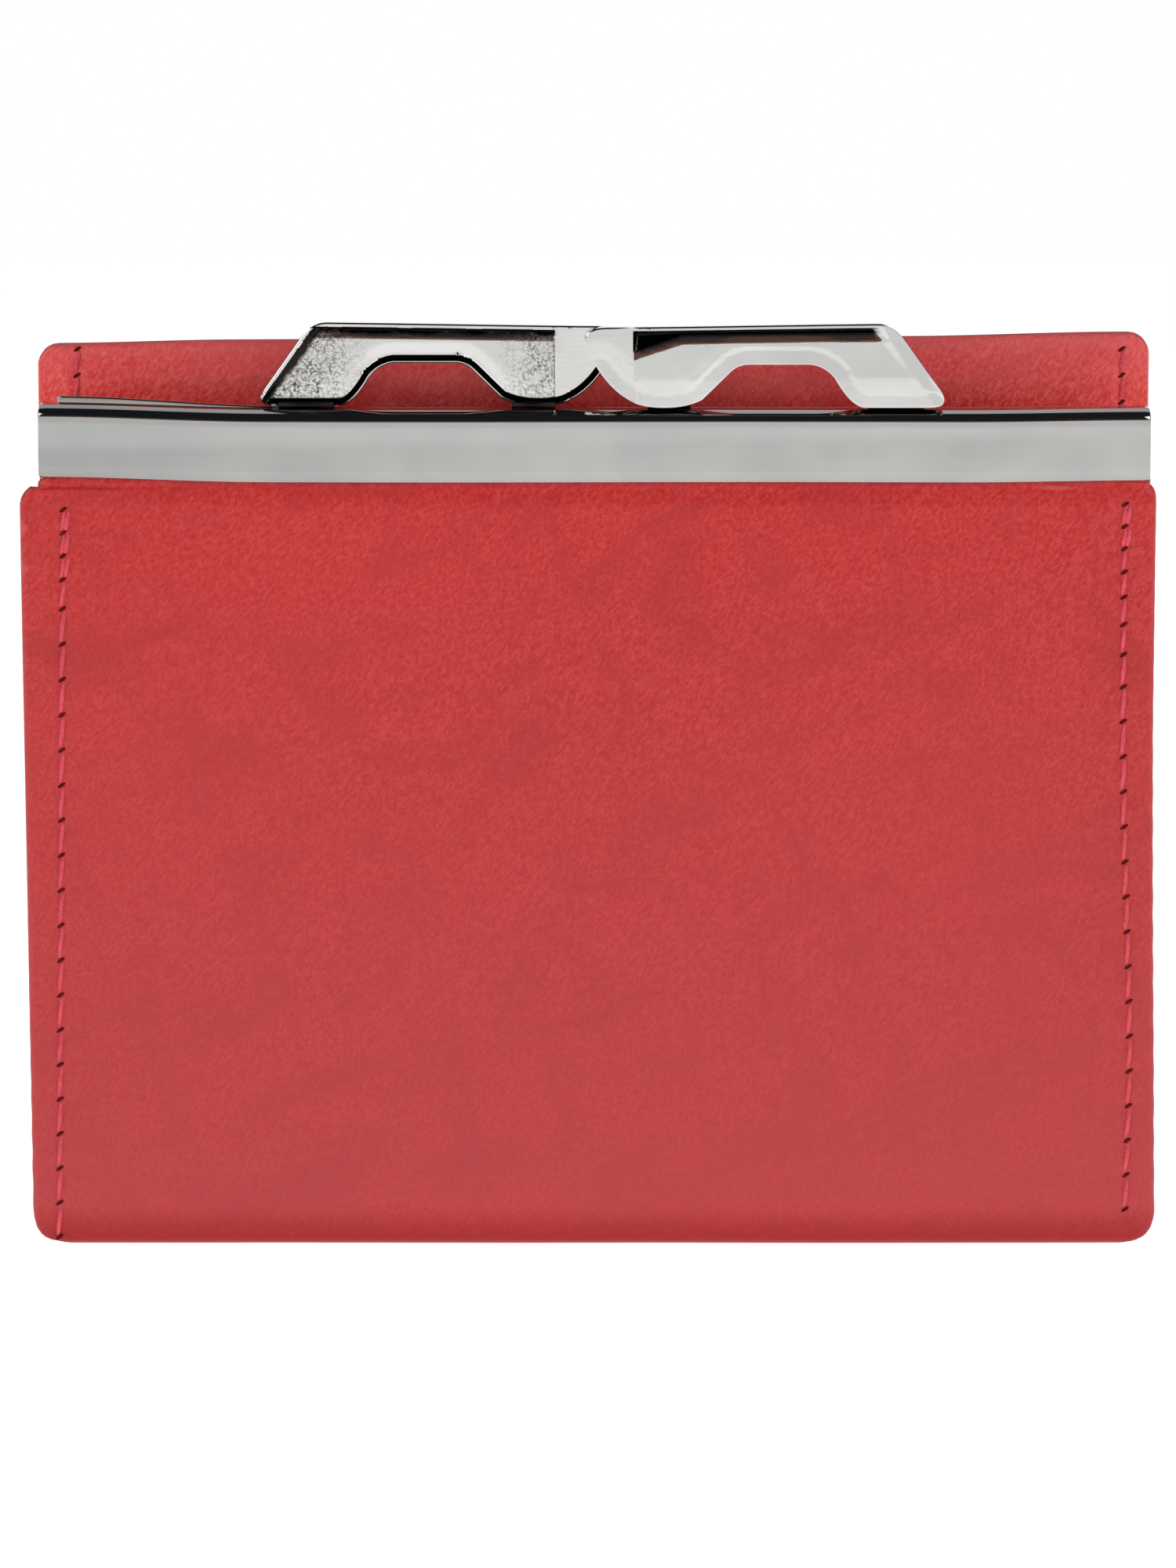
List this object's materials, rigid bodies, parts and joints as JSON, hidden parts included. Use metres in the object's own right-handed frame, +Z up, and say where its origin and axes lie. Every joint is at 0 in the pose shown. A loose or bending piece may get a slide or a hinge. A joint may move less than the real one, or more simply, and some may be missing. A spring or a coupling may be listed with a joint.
{
  "type": "coin purse",
  "caption": "Slim upright leather coin purse with a polished kiss-lock frame, an opening coin pocket in front and an open slip pocket behind it.",
  "frame": {"origin": "middle of the base, on the surface the purse stands on", "axes": "+X along the width to the right seen from the clasp side, +Y from the clasped front to the tall back panel, +Z up"},
  "size_m": [0.105, 0.016, 0.0864],
  "materials": {
    "frame_metal": "polished nickel plate, folded steel sheet",
    "clasp_metal": "polished nickel plate on die-cast alloy",
    "hinge_metal": "nickel-plated rivet",
    "red_leather": "smooth full-grain calf, fine pebble, semi-matte",
    "lining_cloth": "plain-woven lining",
    "board": "pressed card",
    "paper_cord": "twisted paper",
    "red_thread": "waxed polyester thread"
  },
  "bodies": {
    "back_half": {"rear_frame": "frame_metal", "rear_clasp_lever": "clasp_metal", "left_hinge_rivet": "hinge_metal", "right_hinge_rivet": "hinge_metal", "left_hinge_washer": "hinge_metal", "right_hinge_washer": "hinge_metal", "front_panel_lower": "red_leather", "base_panel": "red_leather", "coin_pocket_back_wall": "red_leather", "left_coin_gusset": "red_leather", "right_coin_gusset": "red_leather", "left_slip_gusset": "red_leather", "right_slip_gusset": "red_leather", "back_panel_inner": "red_leather", "back_panel_outer": "red_leather", "front_lining_lower": "lining_cloth", "coin_pocket_back_lining": "lining_cloth", "front_panel_stiffener": "board", "back_panel_stiffener": "board", "rear_frame_cord": "paper_cord", "front_left_stitching": "red_thread", "front_right_stitching": "red_thread", "back_left_stitching": "red_thread", "back_right_stitching": "red_thread"},
    "front_half": {"front_frame": "frame_metal", "front_frame_cord": "paper_cord", "front_clasp_lever": "clasp_metal", "front_panel_upper": "red_leather", "front_panel_fold": "red_leather", "front_lining_upper": "lining_cloth", "front_lining_fold": "lining_cloth", "front_left_stitching_top": "red_thread", "front_right_stitching_top": "red_thread", "left_coin_gusset_top": "red_leather", "right_coin_gusset_top": "red_leather"}
  },
  "joints": [
    {"name": "frame_hinge", "type": "hinge", "parent": "back_half", "child": "front_half", "pos_m": [0.0004, -0.0043, 0.048], "axis": [1, 0, 0], "range_deg": [0, 60], "deforming": ["front_panel_fold", "front_lining_fold", "left_coin_gusset_top", "right_coin_gusset_top"]}
  ]
}
